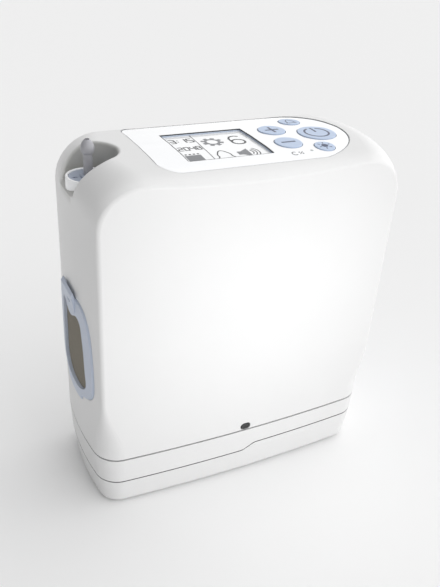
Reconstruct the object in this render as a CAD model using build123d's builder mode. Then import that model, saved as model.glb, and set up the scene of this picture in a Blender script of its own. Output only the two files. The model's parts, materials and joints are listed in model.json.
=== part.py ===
from build123d import *
import os

os.makedirs("parts", exist_ok=True)

# Portable oxygen concentrator, millimetres, +Z up, front face toward -Y, origin under the
# centre of the base. The main housing stands on a battery pack that slides off toward -X.

# ---- outer body ----
width = 181.6
depth = 83.0
crown_top = 205.8
front_crown = 3.8
end_bulge = 4.3
crease_radius = 2.6
top_corner_mid = 20.0
top_corner_edge = 26.0
lower_corner = 15.0
wall = 2.5
fit_gap = 0.3

# ---- heights of the stack ----
foot_height = 1.0
seam_upper = 36.5
seam_gap = 0.5
lower_seam_left = 19.2
lower_seam_right = 23.4
base_draw = 3.0
middle_draw = 0.8
corner_blend_low = 44.0
corner_blend_high = 78.0
blend_stations = ((44.0, 1.0), (52.0, 0.8), (61.0, 0.45), (70.0, 0.14), (78.0, 0.0))
roof_underside = 200.0
board_top = 195.0

# ---- control panel ----
panel_left = -52.6
panel_right = 67.0
panel_half_depth = 34.8
panel_left_corner = 11.0
panel_sink = 0.3
panel_thick = 1.6
window_x = (-36.4, 11.4)
window_y = (-26.0, 13.8)
window_sink = 1.5
window_thick = 1.6
button_travel = 0.8
buttons = {
    "plus_button": (26.8, 5.4, 7.7),
    "minus_button": (25.5, -15.2, 7.5),
    "alert_button": (45.2, 17.8, 6.2),
    "power_button": (49.4, -5.2, 10.8),
    "light_button": (42.4, -24.4, 5.6),
}
light_at = (32.6, -27.4)
light_radius = 0.8

# ---- cannula nozzle ----
nozzle_x = -78.6
seat_z = 192.6
pocket_radius = 14.5
pocket_rim = 1.6
nozzle_tip = 211.4

# ---- intake filter (the exhaust grille mirrors its outline) ----
filter_half = [
    (0, 129.0), (12, 130.0), (19, 128.4), (24, 123.6), (27.2, 115.5), (28.9, 104), (29.7, 88),
    (28.8, 79.5), (24, 73), (13, 67.4), (0, 64.5),
]
mesh_half = [
    (0, 115.8), (6, 117.6), (11.5, 119.6), (15.4, 118), (17.6, 112), (19.2, 102), (20.3, 88),
    (20, 78.6), (15.5, 74.6), (0, 71.6),
]
exhaust_size = (42.0, 40.0)
exhaust_corner = 8.0
frame_proud = 0.9
tab_proud = 2.6
frame_depth = 3.2

# ---- battery ----
rail_y = 22.0
rail_x = (-60.0, 68.0)
rail_head = (9.0, 2.0)
rail_stem = 5.0
rail_low = 30.6
slot_gap = 0.4
cell_radius = 9.2
cell_length = 65.0
cell_pitch = 18.7
cell_count = 8
cell_z = 13.4

# ---- working parts ----
shaft_z = 84.0
motor_radius = 21.0
fan_centre = (-73.0, 0.0, 92.0)
fan_size = 60.0
column_x = 57.0
column_y = 17.0
column_radius = 14.5


def crown_height(y):
    t = abs(y) / (depth / 2)
    return crown_top - 0.0012 * y**2 - 6.9 * t**10


def band_section(y, inset):
    """Side-on outline of the body at one station across its depth."""
    reach = abs(y) / (depth / 2 - front_crown)
    half = width / 2 - end_bulge * reach**2 - inset
    top = crown_height(y) - inset
    share = min(1.0, abs(y) / (depth / 2))
    radius = top_corner_mid + (top_corner_edge - top_corner_mid) * share**2 - inset
    nip = radius * (1 - 0.70711)
    with BuildSketch(Plane.XZ.offset(-y)) as sketch:
        with BuildLine():
            Polyline((-half, top - radius), (-half, -10), (half, -10), (half, top - radius))
            ThreePointArc((half, top - radius), (half - nip, top - nip), (half - radius, top))
            Line((half - radius, top), (-half + radius, top))
            ThreePointArc((-half + radius, top), (-half + nip, top - nip), (-half, top - radius))
        make_face()
    return sketch.sketch


def crowned_slab(inset):
    """Slab between the gently crowned front and back faces."""
    reach = 100.0
    face_y = depth / 2 - inset
    edge_y = face_y - front_crown * (reach / (width / 2)) ** 2
    with BuildPart() as slab:
        with BuildSketch(Plane.XY.offset(-10)):
            with BuildLine():
                ThreePointArc((-reach, -edge_y), (0, -face_y), (reach, -edge_y))
                Line((reach, -edge_y), (reach, edge_y))
                ThreePointArc((reach, edge_y), (0, face_y), (-reach, edge_y))
                Line((-reach, edge_y), (-reach, -edge_y))
            make_face()
        extrude(amount=240)
    return slab.part


def block(low, high, size=400.0):
    """Large slab between two heights, used to cut bodies along Z."""
    with BuildPart() as cutter:
        with BuildSketch(Plane.XY.offset(low)):
            Rectangle(size, size)
        extrude(amount=high - low)
    return cutter.part


def plan_face(body, height, corner):
    """Cross-section of the body at a height, with its corners rounded."""
    flat = body.intersect(Plane.XY.offset(height))
    face = flat.faces()[0]
    with BuildSketch(Plane.XY.offset(height)) as sketch:
        add(face)
        fillet(sketch.vertices(), corner)
    return sketch.sketch


def rough_envelope(inset):
    stations = (-42.5, -39.5, -36.5, -32, -24, -12, 0, 12, 24, 32, 36.5, 39.5, 42.5)
    with BuildPart() as band:
        loft([band_section(y, inset) for y in stations])
    with BuildPart() as body:
        add(band.part)
        add(crowned_slab(inset), mode=Mode.INTERSECT)
    return body.part


def upper_envelope(inset, corner=crease_radius, rim=crease_radius):
    """Body above the upper seam: crisp creases high up, rounded corners low down."""
    raw = rough_envelope(inset)
    raw_front = raw.faces().sort_by(Axis.Y)[0]
    raw_back = raw.faces().sort_by(Axis.Y)[-1]
    creases = [e for face in (raw_front, raw_back) for e in face.edges() if e.center().Z > 0]
    with BuildPart() as body:
        add(raw)
        if rim:
            fillet([e for e in body.edges() if any((e.center() - c.center()).length < 0.01 for c in creases)], rim)
        add(block(-50, corner_blend_high), mode=Mode.SUBTRACT)
        loft([
            plan_face(raw, height, corner + share * (lower_corner - inset - corner))
            for height, share in blend_stations
        ])
        extrude(plan_face(raw, seam_upper - 10, lower_corner - inset), amount=corner_blend_low - seam_upper + 10)
    return body.part


def battery_envelope(inset):
    """Body below the upper seam, drawing in toward the base."""
    low = foot_height + inset
    corner = lower_corner - inset
    base_face = plan_face(rough_envelope(inset + base_draw), low, corner - base_draw)
    middle_face = plan_face(rough_envelope(inset + middle_draw), lower_seam_left, corner - middle_draw)
    top_face = plan_face(rough_envelope(inset), seam_upper, corner)
    with BuildPart() as body:
        loft([base_face, middle_face])
        loft([middle_face, top_face])
        fillet(body.faces().sort_by(Axis.Z)[0].edges(), 4.0 - min(inset, 2.5))
    return body.part


def above_surface(inset):
    """Everything outside the body surface, to trim or cut down to a given depth."""
    with BuildPart() as space:
        Box(600, 600, 600)
        add(rough_envelope(inset), mode=Mode.SUBTRACT)
    return space.part


def panel_outline(grow):
    """Plan outline of the control panel: soft left corners, a nearly semicircular right end."""
    left = panel_left - grow
    right = panel_right + grow
    half = panel_half_depth + grow
    turn = right - half + 6
    with BuildSketch(Plane.XY.offset(150)) as sketch:
        with BuildLine():
            Line((turn, half), (left, half))
            Line((left, half), (left, -half))
            Line((left, -half), (turn, -half))
            ThreePointArc((turn, -half), (right, 0), (turn, half))
        make_face()
        fillet(sketch.vertices().group_by(Axis.X)[0], panel_left_corner + grow)
    return sketch.sketch


def window_outline(grow):
    with BuildSketch(Plane.XY.offset(150)) as sketch:
        with Locations(((window_x[0] + window_x[1]) / 2, (window_y[0] + window_y[1]) / 2)):
            RectangleRounded(
                window_x[1] - window_x[0] + 2 * grow, window_y[1] - window_y[0] + 2 * grow, 1.2 + max(grow, 0)
            )
    return sketch.sketch


def grown(points, grow):
    """Half outline moved outward by a distance, each point along its own normal."""
    moved = []
    for index, (y, z) in enumerate(points):
        before = points[max(0, index - 1)]
        after = points[min(len(points) - 1, index + 1)]
        run, rise = after[0] - before[0], after[1] - before[1]
        size = (run**2 + rise**2) ** 0.5
        if y == 0:
            moved.append((0, z + grow * (1 if run > 0 else -1)))
        else:
            moved.append((y - grow * rise / size, z + grow * run / size))
    return moved


def side_prism(points, side, grow=0.0):
    """Prism toward one end of the body, its smooth outline the same on both sides of the middle."""
    half = grown(points, grow)
    with BuildPart() as prism:
        with BuildSketch(Plane.YZ):
            with BuildLine():
                right = Spline(*half, tangents=((1, 0), (-1, 0)))
                mirror(right, about=Plane.YZ)
            make_face()
        extrude(amount=side * 120)
    return prism.part


# ---------------------------------------------------------------- main housing
seat_drop = 1.2
seat_floor = seat_z - seat_drop
boss_points = [(x, y) for x in (-77, 77) for y in (-31.3, 31.3)]


def pocket_space(lift=0.0):
    """Round well for the nozzle, its floor sloping down and out through the end wall."""
    floor = seat_floor + lift
    with BuildPart() as space:
        with BuildSketch(Plane.XY.offset(160)):
            with Locations((nozzle_x, 0)):
                Circle(pocket_radius)
        extrude(amount=80)
        with BuildSketch(Plane.XZ.offset(60)):
            with BuildLine():
                Polyline(
                    (-55, floor), (nozzle_x - 4, floor), (nozzle_x - 19, floor - 8.5),
                    (nozzle_x - 19, 240), (-55, 240), (-55, floor),
                )
            make_face()
        extrude(amount=-120, mode=Mode.INTERSECT)
    return space.part


shell_cavity = upper_envelope(wall, corner=1.2, rim=1.2)

with BuildPart() as main_housing:
    add(upper_envelope(0.0))
    add(block(0, seam_upper + seam_gap / 2), mode=Mode.SUBTRACT)
    add(pocket_space(), mode=Mode.SUBTRACT)
    pocket_edges = [
        e for e in main_housing.edges()
        if abs(((e @ 0.5).X - nozzle_x) ** 2 + (e @ 0.5).Y ** 2 - pocket_radius**2) < 1 and (e @ 0.5).Z > seat_floor
    ]
    fillet(pocket_edges, pocket_rim)
    with BuildPart(mode=Mode.PRIVATE) as cavity:
        add(shell_cavity)
        add(block(roof_underside, 230), mode=Mode.SUBTRACT)
        # keep a solid wall round the nozzle pocket
        with BuildSketch(Plane.XZ.offset(pocket_radius + 8)):
            with BuildLine():
                Polyline((-100, 176), (nozzle_x + 2, 186), (-58, 186), (-58, 240), (-100, 240), (-100, 176))
            make_face()
        extrude(amount=-2 * (pocket_radius + 8), mode=Mode.SUBTRACT)
    add(cavity.part, mode=Mode.SUBTRACT)
    # hollow stem passage under the seat
    with Locations((nozzle_x, 0, 170)):
        Cylinder(5.2, 40, mode=Mode.SUBTRACT)
    with Locations((nozzle_x, 0, 190)):
        Cylinder(2.6, 10, mode=Mode.SUBTRACT)
    # recess for the panel, with a through opening for the display
    with BuildPart(mode=Mode.PRIVATE) as recess:
        add(panel_outline(0.35))
        extrude(amount=80)
        add(above_surface(panel_sink + panel_thick + 0.05), mode=Mode.INTERSECT)
    add(recess.part, mode=Mode.SUBTRACT)
    with BuildPart(mode=Mode.PRIVATE) as lens_bed:
        add(window_outline(0.25))
        extrude(amount=80)
        add(above_surface(window_sink + window_thick + 0.05), mode=Mode.INTERSECT)
    add(lens_bed.part, mode=Mode.SUBTRACT)
    add(window_outline(-2.0).moved(Location((0, 0, 40))))
    extrude(amount=30, mode=Mode.SUBTRACT)
    for x, y, radius in buttons.values():
        with Locations((x, y, 200)):
            Cylinder(radius + 0.35, 20, mode=Mode.SUBTRACT)
    with Locations((*light_at, 200)):
        Cylinder(light_radius + 0.1, 20, mode=Mode.SUBTRACT)
    # recesses for the intake filter and the exhaust grille
    for side in (-1, 1):
        with BuildPart(mode=Mode.PRIVATE) as side_recess:
            add(side_prism(filter_half, side, 0.3))
            add(above_surface(frame_depth + 0.3), mode=Mode.INTERSECT)
        with BuildPart(mode=Mode.PRIVATE) as side_wall:
            add(side_prism(filter_half, side, 2.5))
            add(rough_envelope(1.0), mode=Mode.INTERSECT)
            add(rough_envelope(frame_depth + 2.3), mode=Mode.SUBTRACT)
        add(side_wall.part)
        add(side_recess.part, mode=Mode.SUBTRACT)
        with BuildSketch(Plane.YZ):
            with Locations((0, 91)):
                RectangleRounded(34, 36, 4)
        extrude(amount=side * 120, mode=Mode.SUBTRACT)
    # release latch opening
    with BuildSketch(Plane.XZ.offset(20)):
        with Locations((0.8, 39.4)):
            SlotOverall(6.8, 4.9)
    extrude(amount=40, mode=Mode.SUBTRACT)
    # socket opening low on the right-hand end
    with BuildSketch(Plane.YZ):
        with Locations((-18, 52)):
            Circle(5.6)
    extrude(amount=120, mode=Mode.SUBTRACT)
    # screw bosses rising from the chassis level
    with BuildSketch(Plane.XY.offset(42)):
        with Locations(boss_points):
            Circle(4.2)
        # web that ties each boss to the long wall
        with Locations([(x, y * 34.1 / 31.3) for x, y in boss_points]):
            Rectangle(2.4, 5.6)
    extrude(amount=18)
    with Locations([(x, y, 50) for x, y in boss_points]):
        Cylinder(1.25, 20, mode=Mode.SUBTRACT)

# ---------------------------------------------------------------- control panel
with BuildPart() as control_panel:
    add(panel_outline(0.0))
    extrude(amount=80)
    add(rough_envelope(panel_sink), mode=Mode.INTERSECT)
    add(rough_envelope(panel_sink + panel_thick), mode=Mode.SUBTRACT)
    add(window_outline(0.0))
    extrude(amount=80, mode=Mode.SUBTRACT)
    for x, y, radius in buttons.values():
        with Locations((x, y, 200)):
            Cylinder(radius + 0.35, 20, mode=Mode.SUBTRACT)
    with Locations((*light_at, 200)):
        Cylinder(light_radius + 0.1, 20, mode=Mode.SUBTRACT)

with BuildPart() as display_window:
    add(window_outline(-0.05))
    extrude(amount=80)
    add(rough_envelope(window_sink), mode=Mode.INTERSECT)
    add(rough_envelope(window_sink + window_thick), mode=Mode.SUBTRACT)

window_centre = ((window_x[0] + window_x[1]) / 2, (window_y[0] + window_y[1]) / 2)
with BuildPart() as display_module:
    with BuildSketch(Plane.XY.offset(board_top + 0.3)):
        with Locations(window_centre):
            RectangleRounded(46, 38, 1)
    extrude(amount=3.2)
    with BuildSketch(Plane.XY.offset(board_top + 3.5)):
        with Locations(window_centre):
            Rectangle(44, 36)
            Rectangle(42, 34, mode=Mode.SUBTRACT)
    extrude(amount=1.0)

with BuildPart() as display_board:
    with BuildSketch(Plane.XY.offset(board_top - 1.6)):
        with Locations((9, 0)):
            RectangleRounded(108, 60, 4)
        with Locations((-41, -26), (-41, 26), (59, -26), (59, 26)):
            Circle(1.6, mode=Mode.SUBTRACT)
    extrude(amount=1.6)
    with BuildSketch(Plane.XY.offset(board_top - 1.6)):
        with Locations((-30, 8), (-8, -12), (24, 4)):
            Rectangle(10, 10)
        with GridLocations(7, 40, 6, 2):
            Rectangle(3, 2)
    extrude(amount=-1.4)

with BuildPart() as keypad_mat:
    with BuildSketch(Plane.XY.offset(board_top + 0.05)):
        for x, y, radius in buttons.values():
            with Locations((x, y)):
                Circle(radius + 1.4)
        with Locations((36, -2)):
            Rectangle(20, 36)
    extrude(amount=0.8)
    for x, y, radius in buttons.values():
        with Locations((x, y, board_top + 0.85)):
            Cone(radius * 0.5, radius * 0.35, 0.7, align=(Align.CENTER, Align.CENTER, Align.MIN))


def button_cap(x, y, radius):
    """Round cap that follows the panel surface, with a retaining flange under the roof."""
    flange_top = roof_underside - 0.3
    stem_low = board_top + 0.85 + 0.7 + button_travel + 0.3
    with BuildPart() as cap:
        with Locations((x, y, 0)):
            Cylinder(radius, 230, align=(Align.CENTER, Align.CENTER, Align.MIN))
        add(rough_envelope(panel_sink - 0.5), mode=Mode.INTERSECT)
        add(block(-1, flange_top - 1.0), mode=Mode.SUBTRACT)
        rim = cap.edges().filter_by(lambda e: e.center().Z > roof_underside + 1 and e.length > radius)
        fillet(rim.sort_by(Axis.Z)[-1], 0.35)
        with Locations((x, y, flange_top)):
            Cylinder(radius + 1.0, 1.0, align=(Align.CENTER, Align.CENTER, Align.MAX))
        with Locations((x, y, flange_top - 0.5)):
            Cylinder(radius * 0.32, flange_top - 0.5 - stem_low, align=(Align.CENTER, Align.CENTER, Align.MAX))
    return cap.part


with BuildPart() as status_light:
    with Locations((*light_at, board_top + 1.2)):
        Cylinder(light_radius, 15, align=(Align.CENTER, Align.CENTER, Align.MIN))
        Cylinder(1.8, 1.4, align=(Align.CENTER, Align.CENTER, Align.MIN))
    add(rough_envelope(panel_sink - 0.1), mode=Mode.INTERSECT)

# ---------------------------------------------------------------- cannula nozzle
seat_radius = 9.7
ring_width = 1.5

with BuildPart() as nozzle_ring:
    ring_in = nozzle_x + seat_radius + 0.1
    ring_out = ring_in + ring_width
    with BuildSketch(Plane.XZ):
        with BuildLine():
            Polyline(
                (ring_in, seat_floor - 8), (ring_out + 0.3, seat_floor - 8), (ring_out, seat_z + 0.7),
                (ring_in, seat_z + 0.7), (ring_in, seat_floor - 8),
            )
        make_face()
    revolve(axis=Axis((nozzle_x, 0, 0), (0, 0, 1)), revolution_arc=360)
    fillet(nozzle_ring.edges().group_by(Axis.Z)[-1], 0.5)
    add(pocket_space(0.1), mode=Mode.INTERSECT)
    add(rough_envelope(0.1), mode=Mode.INTERSECT)

with BuildPart() as nozzle_seat:
    with Locations((nozzle_x, 0, seat_floor + 0.1)):
        Cylinder(seat_radius, seat_drop - 0.1, align=(Align.CENTER, Align.CENTER, Align.MIN))
        Cylinder(4.1, 2.2, align=(Align.CENTER, Align.CENTER, Align.MIN))
    chamfer(nozzle_seat.edges().group_by(Axis.Z)[-1], 0.5)
    with BuildSketch(Plane.XY.offset(seat_z)):
        with Locations((nozzle_x - 6.6, 0), (nozzle_x + 6.6, 0)):
            SlotOverall(2.6, 1.5, rotation=0)
    extrude(amount=-0.8, mode=Mode.SUBTRACT)
    with Locations((nozzle_x, 0, seat_z)):
        Cylinder(2.35, 20, mode=Mode.SUBTRACT)
    add(rough_envelope(0.1), mode=Mode.INTERSECT)

with BuildPart() as cannula_nozzle:
    with BuildSketch(Plane.XZ):
        with BuildLine():
            Polyline((nozzle_x + 1.2, 178), (nozzle_x + 4.6, 178), (nozzle_x + 4.6, 184), (nozzle_x + 2.3, 184))
            Line((nozzle_x + 2.3, 184), (nozzle_x + 2.3, 204))
            Spline(
                (nozzle_x + 2.3, 204), (nozzle_x + 3.4, 206.6), (nozzle_x + 2.6, 209.8), (nozzle_x + 1.2, nozzle_tip),
            )
            Line((nozzle_x + 1.2, nozzle_tip), (nozzle_x + 1.2, 178))
        make_face()
    revolve(axis=Axis((nozzle_x, 0, 0), (0, 0, 1)), revolution_arc=360)

with BuildPart() as nozzle_seal:
    with BuildSketch(Plane.XZ):
        with Locations((nozzle_x + 3.7, 185.2)):
            Circle(1.1)
    revolve(axis=Axis((nozzle_x, 0, 0), (0, 0, 1)), revolution_arc=360)

with BuildPart() as outlet_filter:
    with Locations((nozzle_x, 0, 160)):
        Cylinder(8, 13, align=(Align.CENTER, Align.CENTER, Align.MIN))
        Cylinder(4.6, 17.9, align=(Align.CENTER, Align.CENTER, Align.MIN))
    chamfer(outlet_filter.edges().group_by(Axis.Z)[0], 1.5)

# ---------------------------------------------------------------- side filter and exhaust
bar_pitch = 4.6


def exhaust_prism(grow):
    """Prism through the right-hand end wall for the exhaust opening."""
    with BuildPart() as prism:
        with BuildSketch(Plane.YZ):
            with Locations((0, fan_centre[2])):
                RectangleRounded(exhaust_size[0] + 2 * grow, exhaust_size[1] + 2 * grow, exhaust_corner + grow)
        extrude(amount=120)
    return prism.part


def side_frame(side, opening, steps):
    """Frame following the end wall, standing slightly proud of it, stepping down toward its rim."""
    with BuildPart() as frame_part:
        for step in range(steps):
            with BuildPart(mode=Mode.PRIVATE) as layer:
                add(side_prism(filter_half, side, -0.35 * step))
                add(rough_envelope(-frame_proud + 0.25 * (steps - 1 - step) ** 1.5), mode=Mode.INTERSECT)
            add(layer.part)
        add(rough_envelope(frame_depth), mode=Mode.SUBTRACT)
        add(opening, mode=Mode.SUBTRACT)
    return frame_part.part


def pull_tab():
    """Finger tab standing proud over the top of the filter frame."""
    outer = -(width / 2 + tab_proud)
    with BuildPart() as tab:
        with BuildSketch(Plane.XZ.offset(-10)):
            with BuildLine():
                Polyline(
                    (outer + 5, 121), (outer + 1.9, 121), (outer, 132), (outer + 1.3, 133.4),
                    (outer + 2.2, 130), (outer + 5, 128.5), (outer + 5, 121),
                )
            make_face()
        extrude(amount=20)
        fillet([e for e in tab.edges() if abs(e.center().Y) > 9.9 and e.center().Z > 132.5], 0.8)
        # clear of the wall around the frame
        with BuildPart(mode=Mode.PRIVATE) as wall_around:
            add(rough_envelope(-0.15))
            add(side_prism(filter_half, -1), mode=Mode.SUBTRACT)
        add(wall_around.part, mode=Mode.SUBTRACT)
    return tab.part


with BuildPart() as filter_frame:
    add(side_frame(-1, side_prism(mesh_half, -1), 3))
    add(pull_tab())
    # small slot through the tab
    with BuildSketch(Plane.YZ):
        with Locations((0, 124.4)):
            SlotOverall(5.0, 2.0)
    extrude(amount=-120, mode=Mode.SUBTRACT)
    # ledge that carries the mesh
    with BuildPart(mode=Mode.PRIVATE) as ledge:
        add(side_prism(mesh_half, -1, 0.5))
        add(side_prism(mesh_half, -1, -1.6), mode=Mode.SUBTRACT)
        add(rough_envelope(2.5), mode=Mode.INTERSECT)
        add(rough_envelope(frame_depth), mode=Mode.SUBTRACT)
    add(ledge.part)

with BuildPart() as particle_filter:
    add(side_prism(mesh_half, -1, -0.2))
    add(rough_envelope(0.9), mode=Mode.INTERSECT)
    add(rough_envelope(2.4), mode=Mode.SUBTRACT)

with BuildPart() as intake_grille:
    with BuildSketch(Plane.YZ.offset(-83.0)):
        with Locations((0, 91)):
            RectangleRounded(44, 46, 5)
            with GridLocations(0, 5.6, 1, 6):
                SlotOverall(30, 3.0, mode=Mode.SUBTRACT)
    extrude(amount=1.6)

with BuildPart() as exhaust_grille:
    add(side_frame(1, exhaust_prism(0.0), 1))
    with BuildPart(mode=Mode.PRIVATE) as louvres:
        with BuildSketch(Plane.YZ):
            with Locations((0, fan_centre[2])):
                with GridLocations(0, bar_pitch, 1, 8):
                    Rectangle(50, 1.5)
                Rectangle(1.8, 44)
        extrude(amount=120)
        add(rough_envelope(0.4), mode=Mode.INTERSECT)
        add(rough_envelope(frame_depth), mode=Mode.SUBTRACT)
        add(exhaust_prism(0.4), mode=Mode.INTERSECT)
    add(louvres.part)

# ---------------------------------------------------------------- socket on the right-hand end
with BuildPart() as dc_socket:
    with BuildSketch(Plane.YZ.offset(77)):
        with Locations((-18, 52)):
            Circle(5.4)
    extrude(amount=12.4)
    with BuildSketch(Plane.YZ.offset(78.5)):
        with Locations((-18, 52)):
            Circle(3.6)
            Circle(0.9, mode=Mode.SUBTRACT)
    extrude(amount=30, mode=Mode.SUBTRACT)

# ---------------------------------------------------------------- chassis
chassis_low = 38.0
chassis_thick = 3.4
latch_x = 0.8
latch_z = 39.4


def rails(grow, rise, length):
    """Pair of T-section rails hanging from the chassis; grown, they cut the battery's slots."""
    with BuildPart() as pair:
        with BuildSketch(Plane.YZ.offset(rail_x[0] - grow)):
            with Locations((-rail_y, rail_low - grow), (rail_y, rail_low - grow)):
                Rectangle(rail_head[0] + 2 * grow, rail_head[1] + 2 * grow, align=(Align.CENTER, Align.MIN))
                Rectangle(rail_stem + 2 * grow, rise, align=(Align.CENTER, Align.MIN))
        extrude(amount=length)
    return pair.part


with BuildPart() as chassis_plate:
    chassis_inset = wall + fit_gap
    extrude(
        plan_face(rough_envelope(chassis_inset), chassis_low, lower_corner - chassis_inset), amount=chassis_thick
    )
    with Locations((latch_x, -36, chassis_low)):
        Box(16, 20, 10, mode=Mode.SUBTRACT)
    with Locations([(x, y, chassis_low) for x, y in boss_points]):
        Cylinder(1.55, 10, mode=Mode.SUBTRACT)
    add(rails(0.0, chassis_low - rail_low + 0.5, rail_x[1] - rail_x[0]))
    with Locations((-64, 0, chassis_low + chassis_thick / 2)):
        Box(10, 26, 12, mode=Mode.SUBTRACT)
    # pegs that centre the compressor and the sieve columns
    with Locations([(column_x, side * column_y, chassis_low + chassis_thick) for side in (-1, 1)]):
        Cylinder(column_radius + 2.2, 3.0, align=(Align.CENTER, Align.CENTER, Align.MIN))
        Cylinder(column_radius + 0.6, 8.0, mode=Mode.SUBTRACT, align=(Align.CENTER, Align.CENTER, Align.MIN))

with BuildPart() as chassis_screws:
    with Locations([(x, y, chassis_low) for x, y in boss_points]):
        Cylinder(2.8, 1.15, align=(Align.CENTER, Align.CENTER, Align.MAX))
        Cylinder(1.2, 18, align=(Align.CENTER, Align.CENTER, Align.MIN))
    with Locations([(x, y, chassis_low - 1.15) for x, y in boss_points]):
        Box(3.2, 0.7, 1.0, mode=Mode.SUBTRACT)
        Box(0.7, 3.2, 1.0, mode=Mode.SUBTRACT)

with BuildPart() as terminal_block:
    with Locations((-64, 0, chassis_low + 0.05)):
        Box(9.4, 25.4, 6, align=(Align.CENTER, Align.CENTER, Align.MIN))
    with GridLocations(0, 5, 1, 5):
        with Locations((-64, 0, 36.65)):
            Cylinder(0.9, 2.0, align=(Align.CENTER, Align.CENTER, Align.MIN))

# ---------------------------------------------------------------- release latch
with BuildPart() as latch_button:
    with BuildSketch(Plane.XZ.offset(33.4)):
        with Locations((latch_x, latch_z)):
            SlotOverall(6.3, 4.4)
    extrude(amount=8.1)
    fillet(latch_button.faces().sort_by(Axis.Y)[0].edges(), 0.5)
    with BuildSketch(Plane.XZ.offset(33.4)):
        with Locations((latch_x, 39.7)):
            RectangleRounded(13.5, 3.6, 1.0)
    extrude(amount=4.4)

with BuildPart() as latch_spring:
    with BuildLine() as coil:
        Helix(pitch=1.15, height=4.6, radius=1.3, center=(latch_x, -26.6, 39.7), direction=(0, -1, 0))
    with BuildSketch(Plane(coil.line @ 0, z_dir=coil.line % 0)):
        Circle(0.25)
    sweep(is_frenet=True)

# ---------------------------------------------------------------- electronics and air path
with BuildPart() as main_board:
    with BuildSketch(Plane.XZ.offset(-31)):
        with Locations((-8, 104)):
            RectangleRounded(96, 110, 3)
    extrude(amount=-1.6)
    with BuildSketch(Plane.XZ.offset(-31)):
        with Locations((-36, 140), (-10, 132), (22, 142)):
            Rectangle(14, 14)
        with Locations((-30, 66), (0, 66), (24, 70)):
            Rectangle(18, 9)
    extrude(amount=2.2)
    with Locations([(x, 31, 112) for x in (-40, -26, 12)]):
        Cylinder(4, 6, rotation=(90, 0, 0), align=(Align.CENTER, Align.CENTER, Align.MIN))

fan_x, fan_y, fan_z = fan_centre
with BuildPart() as fan_frame:
    with BuildSketch(Plane.YZ.offset(fan_x - 7)):
        with Locations((fan_y, fan_z)):
            RectangleRounded(fan_size, fan_size, 4)
            Circle(28.2, mode=Mode.SUBTRACT)
            with GridLocations(50, 50, 2, 2):
                Circle(2.2, mode=Mode.SUBTRACT)
    extrude(amount=14)
    with BuildSketch(Plane.YZ.offset(fan_x + 5)):
        with Locations((fan_y, fan_z)):
            Circle(12)
            for angle in (0, 60, 120):
                Rectangle(58, 2.4, rotation=angle + 15)
    extrude(amount=2)
    with BuildSketch(Plane.YZ.offset(fan_x - 4.2)):
        with Locations((fan_y, fan_z)):
            Circle(1.4)
    extrude(amount=10)

with BuildPart() as fan_rotor:
    with BuildSketch(Plane.YZ.offset(fan_x - 6)):
        with Locations((fan_y, fan_z)):
            Circle(11.5)
    extrude(amount=10)
    fillet(fan_rotor.faces().sort_by(Axis.X)[0].edges(), 1.5)
    for index in range(7):
        turn = index * 360 / 7
        hub_plane = Plane(origin=(fan_x - 1, fan_y, fan_z), x_dir=(1, 0, 0), z_dir=(0, 0, 1))
        with BuildSketch(hub_plane.rotated((turn, 0, 0)).offset(10)):
            Rectangle(8.5, 1.5, rotation=38)
        with BuildSketch(hub_plane.rotated((turn, 0, 0)).offset(27)):
            Rectangle(8.5, 1.2, rotation=24)
        loft()
    with BuildSketch(Plane.YZ.offset(fan_x - 4.6)):
        with Locations((fan_y, fan_z)):
            Circle(1.45)
    extrude(amount=11, mode=Mode.SUBTRACT)

# ---------------------------------------------------------------- compressor
crank_x = (-52.0, -12.0)
cylinder_xs = (-42.0, -22.0)
with BuildPart() as compressor_crankcase:
    with BuildSketch(Plane.YZ.offset(crank_x[0])):
        with Locations((0, shaft_z)):
            RectangleRounded(44, 40, 8)
    extrude(amount=crank_x[1] - crank_x[0])
    with BuildSketch(Plane.XY.offset(42.5)):
        with GridLocations(34, 30, 2, 2):
            with Locations(((crank_x[0] + crank_x[1]) / 2, 0)):
                Circle(4)
    extrude(amount=shaft_z - 18 - 42.5)
    with Locations([(x, 0, shaft_z + 10) for x in cylinder_xs]):
        Cylinder(8.1, 30, mode=Mode.SUBTRACT, align=(Align.CENTER, Align.CENTER, Align.MIN))

with BuildPart() as compressor_cylinders:
    with Locations([(x, 0, shaft_z + 10.3) for x in cylinder_xs]):
        Cylinder(8, 24, align=(Align.CENTER, Align.CENTER, Align.MIN))
        Cylinder(6, 24, mode=Mode.SUBTRACT, align=(Align.CENTER, Align.CENTER, Align.MIN))
    for level in range(4):
        with Locations([(x, 0, shaft_z + 21 + 3 * level) for x in cylinder_xs]):
            Cylinder(9.7, 1.4, align=(Align.CENTER, Align.CENTER, Align.MIN))
            Cylinder(7, 1.4, mode=Mode.SUBTRACT, align=(Align.CENTER, Align.CENTER, Align.MIN))

head_low = shaft_z + 34.5
with BuildPart() as cylinder_heads:
    with BuildSketch(Plane.XY.offset(head_low)):
        with Locations((sum(cylinder_xs) / 2, 0)):
            RectangleRounded(42, 24, 6)
    extrude(amount=8)
    with GridLocations(4.2, 0, 9, 1):
        with Locations((sum(cylinder_xs) / 2, 0, head_low + 8)):
            Box(1.6, 20, 3, mode=Mode.SUBTRACT, align=(Align.CENTER, Align.CENTER, Align.MAX))

with BuildPart() as compressor_motor:
    with BuildSketch(Plane.YZ.offset(crank_x[1] + 0.1)):
        with Locations((0, shaft_z)):
            Circle(motor_radius)
    extrude(amount=34)
    fillet(compressor_motor.faces().sort_by(Axis.X)[-1].edges(), 3)
    with BuildSketch(Plane.YZ.offset(20)):
        with Locations((0, shaft_z)):
            Circle(2.5)
    extrude(amount=17)
    with BuildSketch(Plane.XY.offset(42.5)):
        with Locations((6, 0)):
            Rectangle(22, 30)
    extrude(amount=24)

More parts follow.
